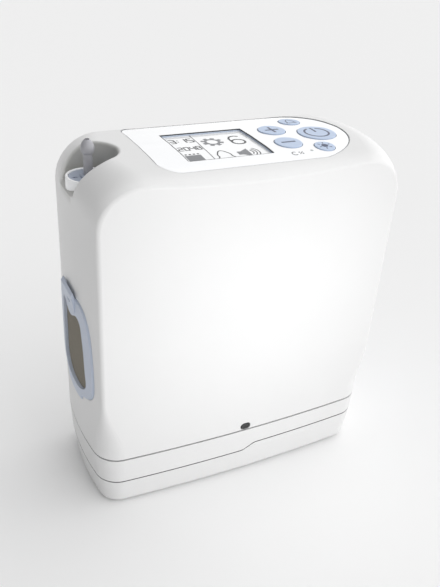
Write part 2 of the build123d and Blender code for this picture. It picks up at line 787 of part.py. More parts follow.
with BuildPart() as cooling_wheel:
    with BuildSketch(Plane.YZ.offset(25.5)):
        with Locations((0, shaft_z)):
            Circle(20)
    extrude(amount=1.6)
    with BuildSketch(Plane.YZ.offset(25.5)):
        with Locations((0, shaft_z)):
            Circle(6)
    extrude(amount=10)
    for index in range(12):
        blade_plane = Plane(origin=(31, 0, shaft_z), x_dir=(1, 0, 0), z_dir=(0, 0, 1))
        with BuildSketch(blade_plane.rotated((index * 30, 0, 0)).offset(5)):
            Rectangle(8.5, 1.1)
        extrude(amount=14.2)
    with BuildSketch(Plane.YZ.offset(24)):
        with Locations((0, shaft_z)):
            Circle(2.55)
    extrude(amount=14, mode=Mode.SUBTRACT)

# ---------------------------------------------------------------- sieve columns and air tank
column_low = chassis_low + chassis_thick + 0.4
column_high = 158.0
columns = [(column_x, side * column_y) for side in (-1, 1)]
with BuildPart() as sieve_columns:
    with Locations([(x, y, column_low + 6) for x, y in columns]):
        Cylinder(column_radius - 0.8, column_high - column_low - 12, align=(Align.CENTER, Align.CENTER, Align.MIN))

with BuildPart() as column_caps:
    for base in (column_low, column_high - 8):
        with Locations([(x, y, base) for x, y in columns]):
            Cylinder(column_radius, 8, align=(Align.CENTER, Align.CENTER, Align.MIN))
    with Locations([(x, y, column_high) for x, y in columns]):
        Cylinder(3.2, 7, align=(Align.CENTER, Align.CENTER, Align.MIN))
    with Locations([(x, y, column_low + 5.9) for x, y in columns]):
        Cylinder(
            column_radius - 0.75, column_high - column_low - 11.8, mode=Mode.SUBTRACT,
            align=(Align.CENTER, Align.CENTER, Align.MIN),
        )

with BuildPart() as accumulator:
    with Locations((-10, 0, 144)):
        Cylinder(12, 76, rotation=(0, 90, 0))
    fillet(accumulator.edges().filter_by(GeomType.CIRCLE), 5)
    with Locations((-10, 0, 154)):
        Cylinder(3, 8, align=(Align.CENTER, Align.CENTER, Align.MIN))

manifold_low = 162.2
with BuildPart() as valve_manifold:
    with BuildSketch(Plane.XY.offset(manifold_low)):
        with Locations((-4, 0)):
            RectangleRounded(92, 24, 3)
    extrude(amount=9)
    chamfer(valve_manifold.edges().group_by(Axis.Z)[-1], 0.8)

with BuildPart() as solenoid_valves:
    with Locations([(x, 0, manifold_low + 9.05) for x in (-38, -16, 6, 28)]):
        Cylinder(8, 14, align=(Align.CENTER, Align.CENTER, Align.MIN))
        Cylinder(3, 16.5, align=(Align.CENTER, Align.CENTER, Align.MIN))
        Box(10, 18, 5, align=(Align.CENTER, Align.CENTER, Align.MIN))


def hose(points, start_way, end_way, radius=2.4):
    """Flexible hose along a smooth path."""
    with BuildPart() as tube:
        with BuildLine() as path:
            Spline(*points, tangents=(start_way, end_way))
        with BuildSketch(Plane(path.line @ 0, z_dir=path.line % 0)):
            Circle(radius)
        sweep()
    return tube.part


with BuildPart() as hoses:
    add(hose([(-50.4, 0, 167), (-61, 0, 160), (-69, 0, 151), (nozzle_x, 0, 159.6)], (-1, 0, 0), (0, 0, 1)))
    for side in (-1, 1):
        add(hose(
            [(42.4, side * 5, 167), (50, side * 10, 172), (column_x, side * column_y, 165.4)],
            (1, 0, 0), (0, 0, -1),
        ))
    add(hose([(-32, 12.4, 122.5), (-32, 20, 144), (-32, 12.4, 166.5)], (0, 1, 0), (0, -1, 0)))

# ---------------------------------------------------------------- battery
case_wall = 2.2
deck_thick = 2.2
step_x = (-1.0, 10.6)


def stepped_block(shift):
    """Everything below the stepped seam between the battery cases."""
    with BuildPart() as lower_space:
        with BuildSketch(Plane.XZ.offset(100)):
            with BuildLine():
                Line((-200, -50), (-200, lower_seam_left + shift))
                Line((-200, lower_seam_left + shift), (step_x[0], lower_seam_left + shift))
                Spline(
                    (step_x[0], lower_seam_left + shift), (step_x[1], lower_seam_right + shift),
                    tangents=((1, 0), (1, 0)),
                )
                Polyline(
                    (step_x[1], lower_seam_right + shift), (200, lower_seam_right + shift), (200, -50), (-200, -50),
                )
            make_face()
        extrude(amount=-200)
    return lower_space.part


battery_shape = battery_envelope(0.0)
battery_hollow = battery_envelope(case_wall)
deck_top = seam_upper - seam_gap / 2
slot_run = 200.0

with BuildPart() as battery_upper_case:
    add(battery_shape)
    add(block(deck_top, 60), mode=Mode.SUBTRACT)
    with BuildPart(mode=Mode.PRIVATE) as upper_hollow:
        add(battery_hollow)
        add(block(deck_top - deck_thick, 60), mode=Mode.SUBTRACT)
        with BuildSketch(Plane.YZ.offset(rail_x[0] - 3.0)):
            with Locations((-rail_y, rail_low - 2.4), (rail_y, rail_low - 2.4)):
                Rectangle(rail_head[0] + 4.6, 20, align=(Align.CENTER, Align.MIN))
        extrude(amount=200, mode=Mode.SUBTRACT)
    add(upper_hollow.part, mode=Mode.SUBTRACT)
    add(rails(slot_gap, 12, slot_run), mode=Mode.SUBTRACT)
    add(stepped_block(seam_gap / 2), mode=Mode.SUBTRACT)
    with BuildSketch(Plane.XY.offset(deck_top - 3)):
        with Locations((-64, 0)):
            Rectangle(12.6, 26.6)
    extrude(amount=5, mode=Mode.SUBTRACT)

with BuildPart() as battery_lower_case:
    add(battery_shape)
    add(stepped_block(-seam_gap / 2), mode=Mode.INTERSECT)
    add(battery_hollow, mode=Mode.SUBTRACT)
    with BuildSketch(Plane.XY.offset(foot_height)):
        with GridLocations(140, 50, 2, 2):
            Circle(6.2)
    extrude(amount=0.8, mode=Mode.SUBTRACT)

with BuildPart() as rubber_feet:
    with BuildSketch(Plane.XY):
        with GridLocations(140, 50, 2, 2):
            Circle(6.0)
    extrude(amount=foot_height + 0.75)
    chamfer(rubber_feet.edges().group_by(Axis.Z)[0], 0.3)

cell_points = [((i - (cell_count - 1) / 2) * cell_pitch, 0, cell_z) for i in range(cell_count)]
with BuildPart() as battery_cells:
    with Locations(cell_points):
        Cylinder(cell_radius, cell_length, rotation=(90, 0, 0))
    with Locations([(x, -cell_length / 2, z) for x, y, z in cell_points]):
        Cylinder(2.8, 1.0, rotation=(90, 0, 0), align=(Align.CENTER, Align.CENTER, Align.MIN))

with BuildPart() as cell_holders:
    with BuildSketch(Plane.XZ.offset(-26)):
        with Locations((0, cell_z)):
            RectangleRounded(cell_count * cell_pitch, 19.6, 3)
        with Locations([(x, z) for x, y, z in cell_points]):
            Circle(cell_radius + 0.05, mode=Mode.SUBTRACT)
    extrude(amount=4)
    mirror(about=Plane.XZ)

with BuildPart() as battery_board:
    with BuildSketch(Plane.XY.offset(24.6)):
        RectangleRounded(112, 26, 2)
    extrude(amount=1.6)
    with BuildSketch(Plane.XY.offset(26.2)):
        with Locations((-30, 0), (0, 4), (26, -3)):
            Rectangle(9, 7)
    extrude(amount=1.2)

with BuildPart() as battery_contacts:
    with Locations((-64, 0, deck_top - 2.9)):
        Box(12.4, 26.4, 2.6, align=(Align.CENTER, Align.CENTER, Align.MIN))
    with GridLocations(0, 5, 1, 5):
        with Locations((-64, 0, deck_top)):
            Box(8, 2.4, 0.4, mode=Mode.SUBTRACT, align=(Align.CENTER, Align.CENTER, Align.MAX))

# ---------------------------------------------------------------- files
pieces = {
    "main_housing": main_housing,
    "control_panel": control_panel,
    "display_window": display_window,
    "display_module": display_module,
    "display_board": display_board,
    "keypad_mat": keypad_mat,
    "status_light": status_light,
    "nozzle_ring": nozzle_ring,
    "nozzle_seat": nozzle_seat,
    "cannula_nozzle": cannula_nozzle,
    "nozzle_seal": nozzle_seal,
    "outlet_filter": outlet_filter,
    "filter_frame": filter_frame,
    "particle_filter": particle_filter,
    "intake_grille": intake_grille,
    "exhaust_grille": exhaust_grille,
    "dc_socket": dc_socket,
    "chassis_plate": chassis_plate,
    "chassis_screws": chassis_screws,
    "terminal_block": terminal_block,
    "latch_button": latch_button,
    "latch_spring": latch_spring,
    "main_board": main_board,
    "fan_frame": fan_frame,
    "fan_rotor": fan_rotor,
    "compressor_crankcase": compressor_crankcase,
    "compressor_cylinders": compressor_cylinders,
    "cylinder_heads": cylinder_heads,
    "compressor_motor": compressor_motor,
    "cooling_wheel": cooling_wheel,
    "sieve_columns": sieve_columns,
    "column_caps": column_caps,
    "accumulator": accumulator,
    "valve_manifold": valve_manifold,
    "solenoid_valves": solenoid_valves,
    "hoses": hoses,
    "battery_upper_case": battery_upper_case,
    "battery_lower_case": battery_lower_case,
    "rubber_feet": rubber_feet,
    "battery_cells": battery_cells,
    "cell_holders": cell_holders,
    "battery_board": battery_board,
    "battery_contacts": battery_contacts,
}
for name, piece in pieces.items():
    piece.part.label = name
    export_step(piece.part, f"parts/{name}.step")

for name, (x, y, radius) in buttons.items():
    cap = button_cap(x, y, radius)
    cap.label = name
    export_step(cap, f"parts/{name}.step")
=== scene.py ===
import json
import math

import bmesh
import bpy
from mathutils import Matrix, Vector
from mathutils.bvhtree import BVHTree


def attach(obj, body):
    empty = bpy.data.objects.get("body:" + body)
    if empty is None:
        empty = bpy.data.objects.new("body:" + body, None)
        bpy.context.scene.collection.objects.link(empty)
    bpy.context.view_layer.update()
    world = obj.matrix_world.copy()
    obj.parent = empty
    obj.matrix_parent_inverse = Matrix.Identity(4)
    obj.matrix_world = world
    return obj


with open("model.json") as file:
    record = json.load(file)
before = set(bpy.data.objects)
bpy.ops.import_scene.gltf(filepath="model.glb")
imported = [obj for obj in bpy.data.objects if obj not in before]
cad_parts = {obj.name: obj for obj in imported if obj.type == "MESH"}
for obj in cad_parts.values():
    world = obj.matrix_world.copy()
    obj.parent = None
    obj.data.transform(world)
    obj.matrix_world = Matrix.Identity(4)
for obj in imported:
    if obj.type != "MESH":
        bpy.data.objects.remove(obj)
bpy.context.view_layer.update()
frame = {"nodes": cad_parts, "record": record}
nodes = frame["nodes"]
MM = 0.001

# ------------------------------------------------------------------ sizes shared with the CAD, in mm
CROWN_TOP = 205.8
PANEL = {"left": -52.6, "right": 67.0, "half": 34.8, "corner": 11.0}
WINDOW = {"x": (-36.4, 11.4), "y": (-26.0, 13.8)}
BUTTONS = {
    "plus_button": (26.8, 5.4),
    "minus_button": (25.5, -15.2),
    "alert_button": (45.2, 17.8),
    "power_button": (49.4, -5.2),
    "light_button": (42.4, -24.4),
}
NOZZLE_X = -78.6
UPPER_SEAM = 36.5
LOWER_SEAM = (19.2, 23.4)
SEAM_STEP = (-1.0, 10.6)

# ------------------------------------------------------------------ sizes of the finish and of the painted shade, in mm
INK_RISE = 0.04
LONGEST_INK_EDGE = 2.5
# rise and reach of the painted shadow strip at the panel's joint
JOINT_RISE = 0.02
JOINT_REACH = 0.6
# painted shadow along the shell seams: half width of the lower band, then offsets and half width of the two
# bands at the upper seam's rims
SEAM_HALF_WIDTH = 0.36
RIM_OFFSETS = (0.32, -0.42)
RIM_HALF_WIDTH = 0.12
# painted shade in the nozzle well: distances from the nozzle over which it fades out, and heights over which
# it fades in
WELL_PAINTED_SHADE_FADE = (14.3, 16.2)
WELL_PAINTED_SHADE_HEIGHTS = (181, 190)
RAY_START = 300.0

# sockets of Blender's colour mix node
MIX_FACTOR, MIX_A, MIX_B, MIX_RESULT = 0, 6, 7, 2

trees = {}


def top_of(node, x, y):
    """Height of a node's upper surface, in mm, under a point given in mm."""
    if node not in trees:
        mesh = nodes[node].data
        trees[node] = BVHTree.FromPolygons([v.co for v in mesh.vertices], [p.vertices for p in mesh.polygons])
    hit = trees[node].ray_cast(Vector((x * MM, y * MM, RAY_START * MM)), Vector((0, 0, -1)))[0]
    if hit is None:
        hit = trees[node].find_nearest(Vector((x * MM, y * MM, CROWN_TOP * MM)))[0]
    return hit.z / MM


# ------------------------------------------------------------------ materials
class Shader:
    """Small helper that builds a Principled material node by node."""

    def __init__(self, name, color, roughness, **sockets):
        self.mat = bpy.data.materials.new(name)
        self.mat.use_nodes = True
        self.tree = self.mat.node_tree
        self.bsdf = self.tree.nodes["Principled BSDF"]
        self.bsdf.inputs["Base Color"].default_value = (*color, 1)
        self.bsdf.inputs["Roughness"].default_value = roughness
        for key, value in sockets.items():
            self.bsdf.inputs[key.replace("_", " ")].default_value = value
        coords = self.tree.nodes.new("ShaderNodeTexCoord")
        self.where = coords.outputs["Object"]
        self.color = color
        self.roughness = roughness

    def node(self, kind, **settings):
        """New node, each setting put on the input of that name or else on the node itself."""
        made = self.tree.nodes.new(kind)
        for key, value in settings.items():
            if key in made.inputs:
                made.inputs[key].default_value = value
            else:
                setattr(made, key, value)
        return made

    def link(self, out, into):
        self.tree.links.new(out, into)

    def noise(self, scale, detail=2.0):
        made = self.node("ShaderNodeTexNoise", Scale=scale, Detail=detail)
        self.link(self.where, made.inputs["Vector"])
        return made.outputs["Fac"]

    def remap(self, value, low, high):
        made = self.node("ShaderNodeMapRange")
        made.inputs["To Min"].default_value = low
        made.inputs["To Max"].default_value = high
        self.link(value, made.inputs["Value"])
        return made.outputs["Result"]

    def axis(self, name):
        split = self.node("ShaderNodeSeparateXYZ")
        self.link(self.where, split.inputs[0])
        return split.outputs[name]

    def maths(self, kind, *values):
        made = self.node("ShaderNodeMath", operation=kind)
        for socket, value in zip(made.inputs, values):
            if isinstance(value, (int, float)):
                socket.default_value = value
            else:
                self.link(value, socket)
        return made.outputs[0]

    def ramp(self, value, source, target):
        """Smooth step of a value from one range to another."""
        made = self.node("ShaderNodeMapRange", interpolation_type="SMOOTHSTEP")
        for key, number in zip(("From Min", "From Max", "To Min", "To Max"), (*source, *target)):
            made.inputs[key].default_value = number
        self.link(value, made.inputs["Value"])
        return made.outputs["Result"]

    def tint(self, mask, color):
        """Mix the colour so far toward another where the mask is set."""
        mix = self.node("ShaderNodeMix", data_type="RGBA")
        self.link(mask, mix.inputs[MIX_FACTOR])
        self.link(self.bsdf.inputs["Base Color"].links[0].from_socket, mix.inputs[MIX_A])
        mix.inputs[MIX_B].default_value = (*color, 1)
        self.link(mix.outputs[MIX_RESULT], self.bsdf.inputs["Base Color"])

    def mottle(self, scale, amount):
        """Slight drift of the colour across the surface."""
        mix = self.node("ShaderNodeMix", data_type="RGBA")
        dark = tuple(max(0.0, c * (1 - amount)) for c in self.color)
        light = tuple(min(1.0, c * (1 + amount)) for c in self.color)
        mix.inputs[MIX_A].default_value = (*dark, 1)
        mix.inputs[MIX_B].default_value = (*light, 1)
        self.link(self.noise(scale), mix.inputs[MIX_FACTOR])
        self.link(mix.outputs[MIX_RESULT], self.bsdf.inputs["Base Color"])
        return self

    def rough_drift(self, scale, amount):
        """Slight drift of the roughness across the surface."""
        low = max(0.02, self.roughness - amount)
        high = min(1.0, self.roughness + amount)
        self.link(self.remap(self.noise(scale, 4.0), low, high), self.bsdf.inputs["Roughness"])
        return self

    def grain(self, scale, strength):
        """Fine moulded texture."""
        bump = self.node("ShaderNodeBump", Strength=strength, Distance=0.1 * MM)
        self.link(self.noise(scale, 3.0), bump.inputs["Height"])
        self.link(bump.outputs["Normal"], self.bsdf.inputs["Normal"])
        return self


def srgb(*values):
    """Linear colour from 0-255 display values."""
    def linear(v):
        v = v / 255
        return v / 12.92 if v <= 0.04045 else ((v + 0.055) / 1.055) ** 2.4

    return tuple(linear(v) for v in values)


def moulded_shader(name, color, roughness, grain_scale=1800.0, grain_strength=0.06, **sockets):
    """Moulded plastic whose nodes can still be added to."""
    shader = Shader(name, color, roughness, **sockets)
    return shader.mottle(35.0, 0.012).rough_drift(60.0, 0.04).grain(grain_scale, grain_strength)


def moulded(*settings, **sockets):
    """Moulded plastic material."""
    return moulded_shader(*settings, **sockets).mat


def seam_shadow_lines(shader):
    """Painted shadow lines along the gaps where the shells meet, held to the rims of the shells."""
    step = shader.ramp(shader.axis("X"), [v * MM for v in SEAM_STEP], [v * MM for v in LOWER_SEAM])
    low = shader.maths("ABSOLUTE", shader.maths("SUBTRACT", shader.axis("Z"), step))
    mask = shader.maths("LESS_THAN", low, SEAM_HALF_WIDTH * MM)
    for offset in RIM_OFFSETS:
        rim = UPPER_SEAM + offset
        near = shader.maths("ABSOLUTE", shader.maths("SUBTRACT", shader.axis("Z"), rim * MM))
        mask = shader.maths("MAXIMUM", mask, shader.maths("LESS_THAN", near, RIM_HALF_WIDTH * MM))
    # pull the shell's colour toward the dark grey of the painted shadow
    shader.tint(mask, srgb(70, 70, 74))


def well_painted_shade(shader):
    """Painted shade inside the nozzle well: a greyer colour, faded out toward its rim."""
    across = shader.maths("SUBTRACT", shader.axis("X"), NOZZLE_X * MM)
    squares = [shader.maths("MULTIPLY", side, side) for side in (across, shader.axis("Y"))]
    reach = shader.maths("SQRT", shader.maths("ADD", *squares))
    inside = shader.ramp(reach, [v * MM for v in WELL_PAINTED_SHADE_FADE], (1.0, 0.0))
    high = shader.ramp(shader.axis("Z"), [v * MM for v in WELL_PAINTED_SHADE_HEIGHTS], (0.0, 1.0))
    # pull the shell's colour toward the grey of the painted shade
    shader.tint(shader.maths("MULTIPLY", inside, high), srgb(176, 176, 173))


def shell(name, color):
    """Satin plastic of the outer shells, with painted shade inside the nozzle well and painted shadow along
    the seams.
    """
    shader = moulded_shader(name, color, 0.38, Coat_Weight=0.15, Coat_Roughness=0.25)
    well_painted_shade(shader)
    seam_shadow_lines(shader)
    return shader.mat


def metal(name, color, roughness):
    """Machined metal with a fine grain."""
    shader = Shader(name, color, roughness, Metallic=1.0)
    shader.mottle(120.0, 0.05).rough_drift(400.0, 0.08).grain(1500.0, 0.12)
    return shader.mat


def woven(name, color, pitch):
    """Fine square weave of threads across the Y and Z directions."""
    shader = Shader(name, color, 0.85, Specular_IOR_Level=0.25)
    shader.mottle(90.0, 0.10)
    waves = []
    for axis in ("Y", "Z"):
        wave = shader.node("ShaderNodeTexWave", wave_type="BANDS", bands_direction=axis)
        wave.inputs["Scale"].default_value = math.pi / (10 * pitch)
        shader.link(shader.where, wave.inputs["Vector"])
        waves.append(wave.outputs["Fac"])
    threads = shader.maths("MAXIMUM", *waves)
    bump = shader.node("ShaderNodeBump", Strength=0.7, Distance=0.3 * MM)
    shader.link(threads, bump.inputs["Height"])
    shader.link(bump.outputs["Normal"], shader.bsdf.inputs["Normal"])
    mix = shader.node("ShaderNodeMix", data_type="RGBA")
    mix.inputs[MIX_A].default_value = (*(c * 0.45 for c in color), 1)
    mix.inputs[MIX_B].default_value = (*color, 1)
    shader.link(threads, mix.inputs[MIX_FACTOR])
    shader.link(mix.outputs[MIX_RESULT], shader.bsdf.inputs["Base Color"])
    return shader.mat


materials = {
    "housing_white": shell("housing_white", srgb(224, 224, 224)),
    "panel_white": moulded(
        "panel_white", srgb(251, 252, 254), 0.16, 900.0, 0.015, Coat_Weight=0.6, Coat_Roughness=0.06,
    ),
    "button_blue": moulded("button_blue", srgb(188, 204, 229), 0.42, 2200.0, 0.08),
    "lens_clear": moulded(
        "display_glass", srgb(252, 253, 255), 0.12, 700.0, 0.01, Coat_Weight=0.5, Coat_Roughness=0.05,
    ),
    "lcd_grey": moulded("display_cell", srgb(150, 158, 160), 0.3),
    "frame_blue": moulded("frame_blue", srgb(194, 202, 217), 0.45, 1600.0, 0.10),
    "mesh_brown": woven("filter_weave", srgb(150, 144, 132), 0.0008),
    "nozzle_grey": moulded("nozzle_grey", srgb(162, 162, 167), 0.30, 1500.0, 0.05),
    "latch_black": moulded(
        "latch_black", srgb(18, 18, 21), 0.22, 1500.0, 0.03, Coat_Weight=0.4, Coat_Roughness=0.1,
    ),
    "dark_plastic": moulded("dark_plastic", srgb(44, 46, 50), 0.5, 1400.0, 0.12),
    "board_green": moulded("board_green", srgb(28, 84, 54), 0.4, 900.0, 0.1),
    "aluminium": metal("aluminium", srgb(186, 188, 191), 0.35),
    "steel": metal("steel", srgb(160, 162, 165), 0.28),
    "rubber_grey": moulded("rubber_grey", srgb(72, 74, 77), 0.75, 1200.0, 0.2),
    "hose_clear": moulded("hose_silicone", srgb(222, 222, 216), 0.35, 800.0, 0.04, Subsurface_Weight=0.1),
    "cell_wrap": moulded("cell_wrap", srgb(62, 110, 176), 0.3, 500.0, 0.05, Coat_Weight=0.3),
    "contact_gold": metal("contact_gold", srgb(205, 166, 84), 0.22),
    "light_pipe": moulded("light_pipe", srgb(196, 204, 204), 0.25, 900.0, 0.03, Transmission_Weight=0.2),
}
node_slot = {s["node"]: s["material_slot"] for s in frame["record"]["subparts"]}
for name, obj in nodes.items():
    for material_slot in obj.material_slots:
        material_slot.material = materials[node_slot[name]]
# the seat is a darker blue-grey than the filter frame
seat_blue = moulded("seat_blue", srgb(160, 168, 184), 0.45, 1600.0, 0.10)
nodes["nozzle_seat"].material_slots[0].material = seat_blue

icon_grey = moulded("icon_grey", srgb(120, 122, 126), 0.35, 900.0, 0.02)
ink = moulded("ink_dark", srgb(26, 30, 36), 0.35, 900.0, 0.02)
ink_blue = moulded("ink_blue", srgb(34, 52, 92), 0.35, 900.0, 0.02)
rim_blue = moulded("rim_blue", srgb(186, 197, 214), 0.30, 900.0, 0.02)
shadow_line = moulded("shadow_line", srgb(70, 74, 80), 0.6, 900.0, 0.02)


# ------------------------------------------------------------------ panel graphics
def flat_piece(name, outlines, material, node, body="main_unit"):
    """Thin printed shape lying on a node. Each outline is a closed list of (x, y) in mm."""
    mesh = bpy.data.meshes.new(name)
    build = bmesh.new()
    for outline in outlines:
        ring = [build.verts.new((x * MM, y * MM, 0)) for x, y in outline]
        face = build.faces.new(ring)
        if face.normal.z < 0:
            face.normal_flip()
    bmesh.ops.triangulate(build, faces=build.faces[:])
    for _ in range(2):
        long_edges = [e for e in build.edges if e.calc_length() > LONGEST_INK_EDGE * MM]
        if long_edges:
            bmesh.ops.subdivide_edges(build, edges=long_edges, cuts=1)
            bmesh.ops.triangulate(build, faces=build.faces[:])
    for vert in build.verts:
        vert.co.z = (top_of(node, vert.co.x / MM, vert.co.y / MM) + INK_RISE) * MM
    bmesh.ops.recalc_face_normals(build, faces=build.faces[:])
    if sum(f.normal.z for f in build.faces) < 0:
        bmesh.ops.reverse_faces(build, faces=build.faces[:])
    build.to_mesh(mesh)
    build.free()
    mesh.materials.append(material)
    obj = bpy.data.objects.new(name, mesh)
    bpy.context.collection.objects.link(obj)
    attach(obj, body)


def arc(cx, cy, radius, start, stop, steps=24, squash=1.0):
    """Points along an arc, angles in degrees."""
    points = []
    for i in range(steps + 1):
        a = math.radians(start + (stop - start) * i / steps)
        points.append((cx + radius * math.cos(a), cy + radius * squash * math.sin(a)))
    return points


def stroke(points, width):
    """Closed outline of a line drawn with a square-ended pen."""
    left, right = [], []
    for i, (x, y) in enumerate(points):
        before = points[max(0, i - 1)]
        after = points[min(len(points) - 1, i + 1)]
        dx, dy = after[0] - before[0], after[1] - before[1]
        size = math.hypot(dx, dy) or 1.0
        nx, ny = -dy / size * width / 2, dx / size * width / 2
        left.append((x + nx, y + ny))
        right.append((x - nx, y - ny))
    return left + right[::-1]


def disc(cx, cy, radius):
    """Closed outline of a disc."""
    return arc(cx, cy, radius, 0, 360, 40)[:-1]


def box_outline(x0, y0, x1, y1):
    """Closed outline of a rectangle."""
    return [(x0, y0), (x1, y0), (x1, y1), (x0, y1)]


def gear(cx, cy, radius):
    """A gear drawn as a thick ring with teeth, in two halves so that each is one outline."""
    teeth = 8
    root, tip, bore = 0.72, 1.0, 0.48
    halves = []
    for start in (0, 180):
        outer = []
        for i in range(teeth // 2):
            base = start + i * 360 / teeth
            for offset, reach in ((0, root), (8, root), (12, tip), (33, tip), (37, root), (45, root)):
                a = math.radians(base + offset)
                outer.append((cx + radius * reach * math.cos(a), cy + radius * reach * math.sin(a)))
        halves.append(outer + arc(cx, cy, radius * bore, start + 180, start, 16))
    return halves


def digit_six(cx, cy, high):
    """A six: a closed loop with an open stem."""
    r = high * 0.27
    pen = high * 0.085
    loop = arc(cx, cy - high / 2 + r, r, -180, 180, 32, 0.92)
    stem = [
        (cx - r, cy - high / 2 + r), (cx - r * 0.95, cy + high * 0.16), (cx - r * 0.45, cy + high * 0.40),
        (cx + r * 0.35, cy + high * 0.46), (cx + r * 0.95, cy + high * 0.36),
    ]
    return [stroke(loop, pen), stroke(stem, pen)]


def bell(cx, cy, wide, high, pen):
    """A bell: a dome with flared sides over a straight foot."""
    left, right, foot = cx - wide / 2, cx + wide / 2, cy - high / 2
    waist, flare = wide * 0.36, cy - high * 0.30
    dome = [(left, foot), (cx - waist, flare)]
    for tenth in range(-10, 11, 2):
        x = tenth / 10
        dome.append((cx + x * waist, cy + high * (-0.1 + 0.55 * math.cos(x * 1.45))))
    dome += [(cx + waist, flare), (right, foot)]
    return [stroke(dome, pen), stroke([(left, foot), (right, foot)], pen)]


SEGMENTS = {"0": "abcdef", "1": "bc", "2": "abged", "3": "abgcd", "4": "fgbc", "5": "afgcd", "8": "abcdefg"}


def seven_segment(text, x, y, high, pen):
    """A row of plain seven-segment figures, left to right."""
    outlines = []
    wide = high * 0.5
    for letter in text:
        if letter == ":":
            for dot in (y + high * 0.25, y + high * 0.65):
                outlines.append(box_outline(x, dot, x + pen, dot + pen))
            x += pen * 2.2
            continue
        right, middle, top = x + wide, y + high / 2, y + high
        lines = {
            "a": ((x, top), (right, top)),
            "b": ((right, middle), (right, top)),
            "c": ((right, y), (right, middle)),
            "d": ((x, y), (right, y)),
            "e": ((x, y), (x, middle)),
            "f": ((x, middle), (x, top)),
            "g": ((x, middle), (right, middle)),
        }
        outlines += [stroke(lines[key], pen) for key in SEGMENTS[letter]]
        x += wide * 1.45
    return outlines


def display_content():
    """Generic symbols on the display: setting, figure, bell, speaker, clock and battery."""
    shapes = {
        "icon_setting": (icon_grey, gear(-12.0, -0.5, 6.2)),
        "icon_figure": (ink, digit_six(2.0, -0.5, 13.5)),
        "icon_bell": (ink, bell(-14.0, -18.6, 10.0, 10.5, 0.7)),
        "icon_speaker": (icon_grey, [
            box_outline(-6.3, -21.4, -4.0, -17.4), [(-4.0, -21.4), (0.4, -24.6), (0.4, -14.4), (-4.0, -17.4)],
        ]),
        "icon_waves": (ink, [stroke(arc(-0.8, -19.5, r, -48, 48, 12), 0.6) for r in (3.2, 4.9, 6.6)]),
        "icon_clock": (ink, seven_segment("3:15", -33.8, 2.0, 5.6, 0.85)),
        "icon_count": (ink, seven_segment("2048", -33.8, -9.4, 4.6, 0.7)),
        "icon_battery": (icon_grey, [box_outline(-34.4, -24.8, -25.8, -16.4)]),
        "icon_charge": (ink, [box_outline(x, -15.6, x + 1.2, -14.4) for x in (-33.8, -31.6, -29.4, -27.2)]),
        "icon_divider": (ink, [stroke([(-19.4, 12.8), (-20.4, -6), (-21.2, -25.2)], 0.45)]),
    }
    for name, (material, outlines) in shapes.items():
        flat_piece(name, outlines, material, "display_window")


def key_symbols():
    """Symbols printed on the keys, each riding with its own key, and one beside the status light."""
    x, y = BUTTONS["plus_button"]
    plus = [
        box_outline(x - 4.2, y - 0.7, x + 4.2, y + 0.7), box_outline(x - 0.7, y + 0.7, x + 0.7, y + 4.6),
        box_outline(x - 0.7, y - 4.6, x + 0.7, y - 0.7),
    ]
    x, y = BUTTONS["minus_button"]
    minus = [box_outline(x - 4.2, y - 0.7, x + 4.2, y + 0.7)]
    x, y = BUTTONS["alert_button"]
    alert = bell(x, y, 6.4, 6.6, 0.6)
    x, y = BUTTONS["power_button"]
    power = [stroke(arc(x, y, 6.8, 112, 428, 48), 1.15), box_outline(x - 0.6, y + 0.8, x + 0.6, y + 7.6)]
    x, y = BUTTONS["light_button"]
    light = [disc(x, y, 1.9)]
    for turn in range(20, 380, 60):
        a = math.radians(turn)
        light.append(stroke([
            (x + 2.5 * math.cos(a), y + 2.5 * math.sin(a)), (x + 4.0 * math.cos(a), y + 4.0 * math.sin(a)),
        ], 0.6))
    symbols = {"plus": plus, "minus": minus, "alert": alert, "power": power, "light": light}
    for name, outlines in symbols.items():
        flat_piece(f"mark_{name}", outlines, ink_blue, f"{name}_button", f"{name}_button_cap")
    flow = [
        stroke(arc(21.6, -28.9, 1.6, 50, 310, 20), 0.5), disc(24.6, -28.0, 0.5), disc(26.2, -29.6, 0.5),
        stroke([(24.2, -30.0), (26.8, -27.5)], 0.4),
    ]
    flat_piece("mark_flow", flow, ink, "control_panel")


def strip(name, rows, material):
    """Closed band on the panel between rings of points given in mm."""
    mesh = bpy.data.meshes.new(name)
    build = bmesh.new()
    made = [[build.verts.new([c * MM for c in point]) for point in row] for row in rows]
    for upper, lower in zip(made, made[1:]):
        for i in range(len(upper)):
            k = (i + 1) % len(upper)
            build.faces.new((upper[i], upper[k], lower[k], lower[i]))
    bmesh.ops.recalc_face_normals(build, faces=build.faces[:])
    build.to_mesh(mesh)
    build.free()
    mesh.materials.append(material)
    obj = bpy.data.objects.new(name, mesh)
    bpy.context.collection.objects.link(obj)
    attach(obj, "main_unit")


def spaced(path, gap):
    """Closed path with points no further apart than the gap."""
    dense = []
    for (ax, ay), (bx, by) in zip(path, path[1:] + path[:1]):
        steps = max(1, int(math.hypot(bx - ax, by - ay) / gap))
        dense += [(ax + (bx - ax) * i / steps, ay + (by - ay) * i / steps) for i in range(steps)]
    return dense


def panel_path(grow):
    """Plan outline of the control panel, grown by a distance."""
    half = PANEL["half"] + grow
    left, right = PANEL["left"] - grow, PANEL["right"] + grow
    corner = PANEL["corner"] + grow
    turn = right - half + 6
    sag = right - turn
    radius = (half * half + sag * sag) / (2 * sag)
    reach = math.degrees(math.asin(half / radius))
    path = arc(left + corner, half - corner, corner, 180, 90, 12)
    path += arc(right - radius, 0, radius, reach, -reach, 60)
    path += arc(left + corner, -half + corner, corner, 270, 180, 12)[:-1]
    return spaced(path, 3.0)


